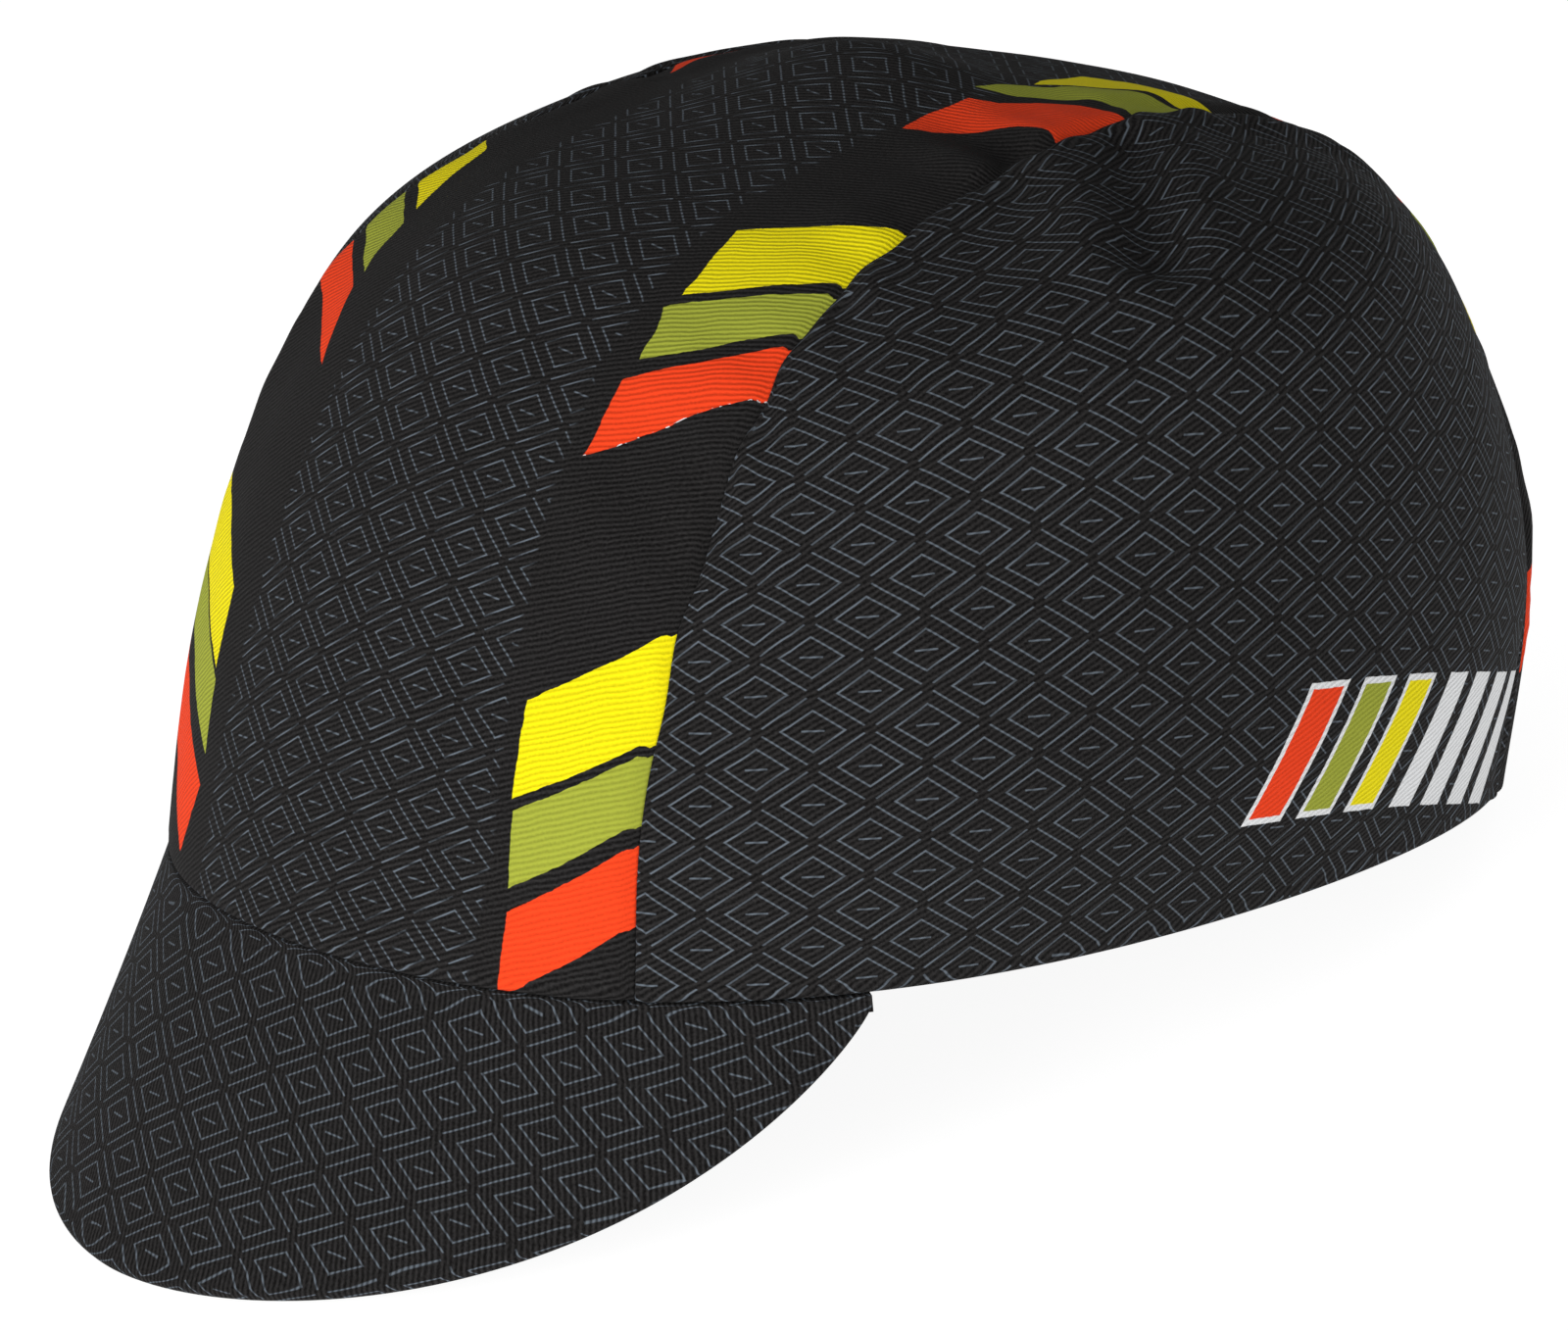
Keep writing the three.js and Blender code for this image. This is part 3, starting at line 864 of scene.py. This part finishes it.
class Finish:
    """A node material built from expressions."""

    def __init__(self, name):
        self.material = bpy.data.materials.new(name)
        self.material.use_nodes = True
        self.tree = self.material.node_tree
        self.tree.nodes.clear()

    def node(self, kind, settings=None, sockets=None, output=0):
        """Adds a node: its settings first, then its sockets' values or links."""
        node = self.tree.nodes.new(kind)
        for name, value in (settings or {}).items():
            setattr(node, name, value)
        for name, value in (sockets or {}).items():
            if isinstance(value, Signal):
                self.tree.links.new(value.socket, node.inputs[name])
            else:
                node.inputs[name].default_value = value
        return Signal(self, node.outputs[output]) if node.outputs else node

    def math(self, operation, *values):
        settings = {"operation": operation}
        return self.node("ShaderNodeMath", settings, dict(enumerate(values)))

    def least(self, first, second):
        return self.math("MINIMUM", first, second)

    def most(self, first, second):
        return self.math("MAXIMUM", first, second)

    def clamp(self, value):
        settings = {"operation": "ADD", "use_clamp": True}
        return self.node("ShaderNodeMath", settings, {0: value, 1: 0})

    def inside(self, value, softness=0.12):
        """1 where a distance in millimetres is above 0, with a soft edge."""
        return self.clamp(value / softness + 0.5)

    def mix(self, share, first, second, blend="MIX"):
        """Colour between two others, or a blend of them, through the Mix node's colour sockets."""
        first, second = (
            value if isinstance(value, Signal) else (*value, 1) for value in (first, second)
        )
        settings = {"data_type": "RGBA", "blend_type": blend}
        return self.node("ShaderNodeMix", settings, {0: share, 6: first, 7: second}, output=2)

    def noise(self, vector, scale, detail, roughness):
        return self.node(
            "ShaderNodeTexNoise",
            {"noise_dimensions": "3D"},
            {"Vector": vector, "Scale": scale, "Detail": detail, "Roughness": roughness},
        )

    def split(self, vector):
        node = self.node("ShaderNodeSeparateXYZ", None, {0: vector}).socket.node
        return [Signal(self, node.outputs[axis]) for axis in range(3)]

    def join(self, x, y, z):
        return self.node("ShaderNodeCombineXYZ", None, {0: x, 1: y, 2: z})

    def attribute(self, name, output):
        return self.node("ShaderNodeAttribute", {"attribute_name": name}, output=output)

    def surface(self, sockets):
        shader = self.node("ShaderNodeBsdfPrincipled", None, sockets)
        self.node("ShaderNodeOutputMaterial", None, {"Surface": shader})


def net_lines(finish, looks, u, v):
    """Fine lines: diamonds with open corners, and a smaller diamond and a dash in each."""
    pitch, rise = mm(looks.print_pitch), mm(looks.print_rise)
    half = mm(looks.line_width) / 2
    scale = 1 / math.hypot(1 / pitch, 1 / rise)
    first = finish.math("FRACT", u / pitch + v / rise) - 0.5
    second = finish.math("FRACT", u / pitch - v / rise) - 0.5
    first_side, second_side = 0.5 - abs(first), 0.5 - abs(second)
    border = finish.least(first_side, second_side)
    corner = finish.most(first_side, second_side)
    outline = finish.inside(half - border * scale) * finish.inside((corner - OPEN_CORNER) * scale)
    nested = finish.inside(half - abs(border - NESTED) * scale)
    low = abs((first - second) * rise / 2)
    wide = abs((first + second) * pitch / 2)
    dash = finish.inside(half - low) * finish.inside(HALF_DASH - wide)
    return finish.most(finish.most(outline, nested), dash)


def ribs(finish, looks, u, v, angle, grain):
    """Height of the twill's ribs from 0 to 1, running at an angle to the panel's width."""
    turn = math.radians(angle)
    place = v * math.cos(turn) - u * math.sin(turn)
    wobble = (finish.noise(grain, *WOBBLE) - 0.5) * RIB_WANDER
    wave = finish.math("SINE", (place + wobble) * (math.tau / mm(looks.rib_pitch)))
    return wave * 0.5 + 0.5


def cloth_finish(name, looks, angle, breaks, printed=None):
    """Ribbed cotton with a fine line print, broken up by the ribs, and printed areas of colour, with
    painted light on the rib tops and painted shade between them.
    """
    finish = Finish(name)
    cloth = finish.attribute("cloth", "Vector")
    lining = finish.clamp(finish.attribute("lining", "Fac"))
    u, v, from_seam = finish.split(cloth)
    grain = finish.join(u, v, 0)
    rib = ribs(finish, looks, u, v, angle, grain)
    mottle = finish.noise(grain, *MOTTLE)
    fibre = finish.noise(grain, *FIBRE)
    uneven = fibre - 0.5

    # Painted light and shade: the rib tops are painted lit and the valleys shaded, with the cloth's
    # light fibres and mottled tone on top
    lit = rib * LIGHT["rib"] + uneven * LIGHT["fibre"] + mottle * LIGHT["mottle"]
    colour = finish.mix(finish.clamp(lit), looks.ground_and_valley_shade, looks.rib_light_and_fibres)
    worn = rib * WEAR["rib"] + fibre * WEAR["fibre"] - WEAR["least"]
    broken = finish.clamp(1 - breaks + worn * breaks)
    faded = FADING["least"] + mottle * FADING["mottle"]
    lines = net_lines(finish, looks, u, v) * broken * faded
    lined, areas = printed(finish, looks, u, v, from_seam) if printed else (1, [])
    colour = finish.mix(lines * lined, colour, looks.line)
    for mask, paint in areas:
        colour = finish.mix(mask, colour, paint)
    colour = finish.mix(lining, colour, looks.lining)
    # Painted shade: the colour darkens in the ribs' valleys, and the fibres add their uneven tone
    shade = finish.clamp(SHADE["least"] + rib * SHADE["rib"] + uneven * SHADE["fibre"])
    colour = finish.mix(1.0, colour, finish.join(shade, shade, shade), "MULTIPLY")
    height = rib + fibre * BUMP["fibre"]
    bump = {"Strength": BUMP["strength"], "Distance": looks.rib_height, "Height": height}
    normal = finish.node("ShaderNodeBump", None, bump)
    finish.surface({"Base Color": colour, "Normal": normal, **CLOTH_SURFACE})
    return finish.material


def bar_edges(bar, v, from_seam, rough):
    """Distances inwards from a bar's lower edge, upper edge and inner end, which may be slanted."""
    low, high, inner_low, inner_high, low_reach, high_reach = bar
    above = v - low - from_seam * ((inner_low - low) / low_reach)
    below = high + from_seam * ((inner_high - high) / high_reach) - v
    slant = (high_reach - low_reach) / (inner_high - inner_low)
    beside = low_reach + (v - inner_low) * slant + rough - from_seam
    return above, below, beside


def colour_bars(finish, looks, u, v, from_seam):
    """Where the fine lines stay, then each bar's mask and colour."""
    grain = finish.join(u, v, 0)
    rough = (finish.noise(grain, *BAR_ROUGHNESS) - 0.5) * BAR_UNEVENNESS
    edges = [
        finish.least(finish.most(start + v * slope, low), high)
        for start, slope, low, high in LINED_EDGES
    ]
    margin = finish.least(edges[0] - u, edges[1] + u)
    lined = finish.inside(margin + rough * LINED_UNEVENNESS, LINED_SOFTNESS)
    left = finish.inside(u, MIDDLE_SOFTNESS)
    across = (from_seam - PULL_PLACE) / PULL_REACH
    pulled = finish.most(1 - across * across, 0) * finish.inside(v - PULL_START, PULL_SOFTNESS)
    place = v - pulled * left * PULL + rough
    bare = finish.inside(finish.noise(grain, *BARE_ROUGHNESS) - BARE_SHARE, BARE_SOFTNESS)
    masks = []
    for bars, half in ((LEFT_BARS, left), (RIGHT_BARS, 1 - left), (REAR_BARS, 1)):
        for count, bar in enumerate(bars):
            above, below, beside = bar_edges(bar, place, from_seam, rough)
            within = finish.inside(beside) * half
            mask = finish.inside(finish.least(above, below)) * within
            masks.append((mask, getattr(looks, BAR_PAINTS[count % len(BAR_PAINTS)])))
            if bar is LEFT_BARS[BARE_BAR]:
                threads = finish.inside(BARE_WIDTH - abs(above)) * bare * within
                masks.append((threads, looks.white))
    return lined, masks


def side_stripes(side, finish, looks, u, v, from_seam):
    """Each stripe's mask and colour on a side panel, with a white edge round the coloured ones."""
    grain = finish.join(u, v, 0)
    rough = (finish.noise(grain, *STRIPE_ROUGHNESS) - 0.5) * STRIPE_UNEVENNESS
    start_u, start_v = STRIPE_LINE["start"]
    run = u * side - start_u
    rise = v - start_v - run * STRIPE_LINE["slope"] - STRIPE_HEIGHT / 2
    above_foot = STRIPE_HEIGHT / 2 - (abs(rise) - rough)
    masks = []
    for kind in STRIPES:
        half = kind["width"] / 2
        for count, paint in enumerate(kind["paints"]):
            middle = kind["start"] + count * kind["step"] + half
            from_middle = abs(run - middle - rise * STRIPE_LEAN) - rough
            gap = finish.least(half - from_middle, above_foot)
            if kind["edged"]:
                masks.append((finish.inside(gap), looks.white))
                gap = gap - STRIPE_EDGE
            masks.append((finish.inside(gap), getattr(looks, paint)))
    return 1, masks


class CAP_OT_centre_panel(bpy.types.Operator):
    """Build the crown's centre panel."""

    bl_idname = "cap.centre_panel"
    bl_label = "Centre Panel"

    def execute(self, context):
        scene = context.scene
        crown = Crown(scene.cap_shape)
        panel = panel_cloth(crown, *centre_places(crown), CENTRE_PHASE)
        piece = cloth_object("centre_panel_cloth", *panel)
        fit_piece(piece, "crown_centre_panel")
        material = cloth_finish(
            "centre_print", scene.cap_finish, **PRINTS["centre"], printed=colour_bars
        )
        piece.data.materials.append(material)
        return {"FINISHED"}


class CAP_OT_side_panels(bpy.types.Operator):
    """Build the crown's two side panels."""

    bl_idname = "cap.side_panels"
    bl_label = "Side Panels"

    def execute(self, context):
        scene = context.scene
        crown = Crown(scene.cap_shape)
        for side, name in ((1, "left"), (-1, "right")):
            panel = panel_cloth(crown, *side_places(crown, side), SIDE_PHASE + side)
            piece = cloth_object(f"{name}_panel_cloth", *panel)
            fit_piece(piece, f"crown_side_panel_{name}")
            material = cloth_finish(
                f"{name}_print",
                scene.cap_finish,
                **PRINTS["side"],
                printed=partial(side_stripes, side),
            )
            piece.data.materials.append(material)
        return {"FINISHED"}


class CAP_OT_peak(bpy.types.Operator):
    """Build the peak."""

    bl_idname = "cap.peak"
    bl_label = "Peak"

    def execute(self, context):
        scene = context.scene
        outside, inside = peak_cloth(Crown(scene.cap_shape))
        no_seam = np.ones(outside.shape[:2])
        piece = cloth_object("peak_cloth", outside, inside, no_seam)
        fit_piece(piece, "peak")
        material = cloth_finish("peak_print", scene.cap_finish, **PRINTS["peak"])
        piece.data.materials.append(material)
        return {"FINISHED"}


class CAP_OT_stage(bpy.types.Operator):
    """Set up the floor, the lights and the camera."""

    bl_idname = "cap.stage"
    bl_label = "Stage"

    def execute(self, context):
        scene = context.scene
        self.add_floor(scene)
        for name, light in LIGHTS.items():
            self.add_light(scene, name, **light)
        self.add_camera(scene)
        world = bpy.data.worlds.new("pale_room")
        world.use_nodes = True
        background = world.node_tree.nodes["Background"]
        background.inputs["Color"].default_value = (1, 1, 1, 1)
        background.inputs["Strength"].default_value = ROOM_STRENGTH
        scene.world = world
        scene.view_settings.view_transform = "Standard"
        return {"FINISHED"}

    def add_floor(self, scene):
        mesh = bpy.data.meshes.new("floor")
        signs = ((-1, -1), (1, -1), (1, 1), (-1, 1))
        corners = [(x * FLOOR_HALF, y * FLOOR_HALF, 0) for x, y in signs]
        mesh.from_pydata(corners, [], [(0, 1, 2, 3)])
        floor = bpy.data.objects.new("floor", mesh)
        scene.collection.objects.link(floor)
        finish = Finish("pale_floor")
        finish.surface(FLOOR_SURFACE)
        mesh.materials.append(finish.material)

    def add_light(self, scene, name, place, size, power):
        light = bpy.data.lights.new(name, "AREA")
        light.shape = "DISK"
        light.size = size
        light.energy = power
        lamp = bpy.data.objects.new(name, light)
        lamp.location = place
        aim = Vector((0, 0, AIM_HEIGHT)) - Vector(place)
        lamp.rotation_euler = aim.to_track_quat("-Z", "Y").to_euler()
        scene.collection.objects.link(lamp)

    def add_camera(self, scene):
        """The camera that matches the photo's view."""
        azimuth, elevation, roll = (math.radians(angle) for angle in CAMERA_ANGLES.values())
        back = Vector((
            math.sin(azimuth) * math.cos(elevation),
            -math.cos(azimuth) * math.cos(elevation),
            math.sin(elevation),
        ))
        right = Vector((math.cos(azimuth), math.sin(azimuth), 0))
        up = back.cross(right)
        right, up = (
            math.cos(roll) * right + math.sin(roll) * up,
            math.cos(roll) * up - math.sin(roll) * right,
        )
        place = Vector((0, -scene.cap_shape.shift_ahead, AIM_HEIGHT))
        for axis, distance in zip((right, up, back), CAMERA_PLACE.values()):
            place += axis * distance
        camera = bpy.data.objects.new("camera", bpy.data.cameras.new("camera"))
        camera.data.lens = CAMERA_LENS
        turned = Matrix((right, up, back)).transposed().to_4x4()
        camera.matrix_world = Matrix.Translation(place) @ turned
        scene.collection.objects.link(camera)
        scene.camera = camera


class CAP_PT_sidebar(bpy.types.Panel):
    """Lists the cap's pieces in the 3D view's sidebar."""

    bl_label = "Cycling Cap"
    bl_idname = "CAP_PT_sidebar"
    bl_space_type = "VIEW_3D"
    bl_region_type = "UI"
    bl_category = "Cap"

    def draw(self, context):
        for operator in OPERATORS:
            self.layout.operator(operator.bl_idname)


OPERATORS = (CAP_OT_centre_panel, CAP_OT_side_panels, CAP_OT_peak, CAP_OT_stage)
CLASSES = (CapShape, CapFinish, *OPERATORS, CAP_PT_sidebar)


def register():
    for item in CLASSES:
        bpy.utils.register_class(item)
    bpy.types.Scene.cap_shape = PointerProperty(type=CapShape)
    bpy.types.Scene.cap_finish = PointerProperty(type=CapFinish)


def unregister():
    del bpy.types.Scene.cap_finish
    del bpy.types.Scene.cap_shape
    for item in reversed(CLASSES):
        bpy.utils.unregister_class(item)


def main():
    register()
    bpy.ops.cap.centre_panel()
    bpy.ops.cap.side_panels()
    bpy.ops.cap.peak()
    bpy.ops.cap.stage()


if __name__ == "__main__":
    main()
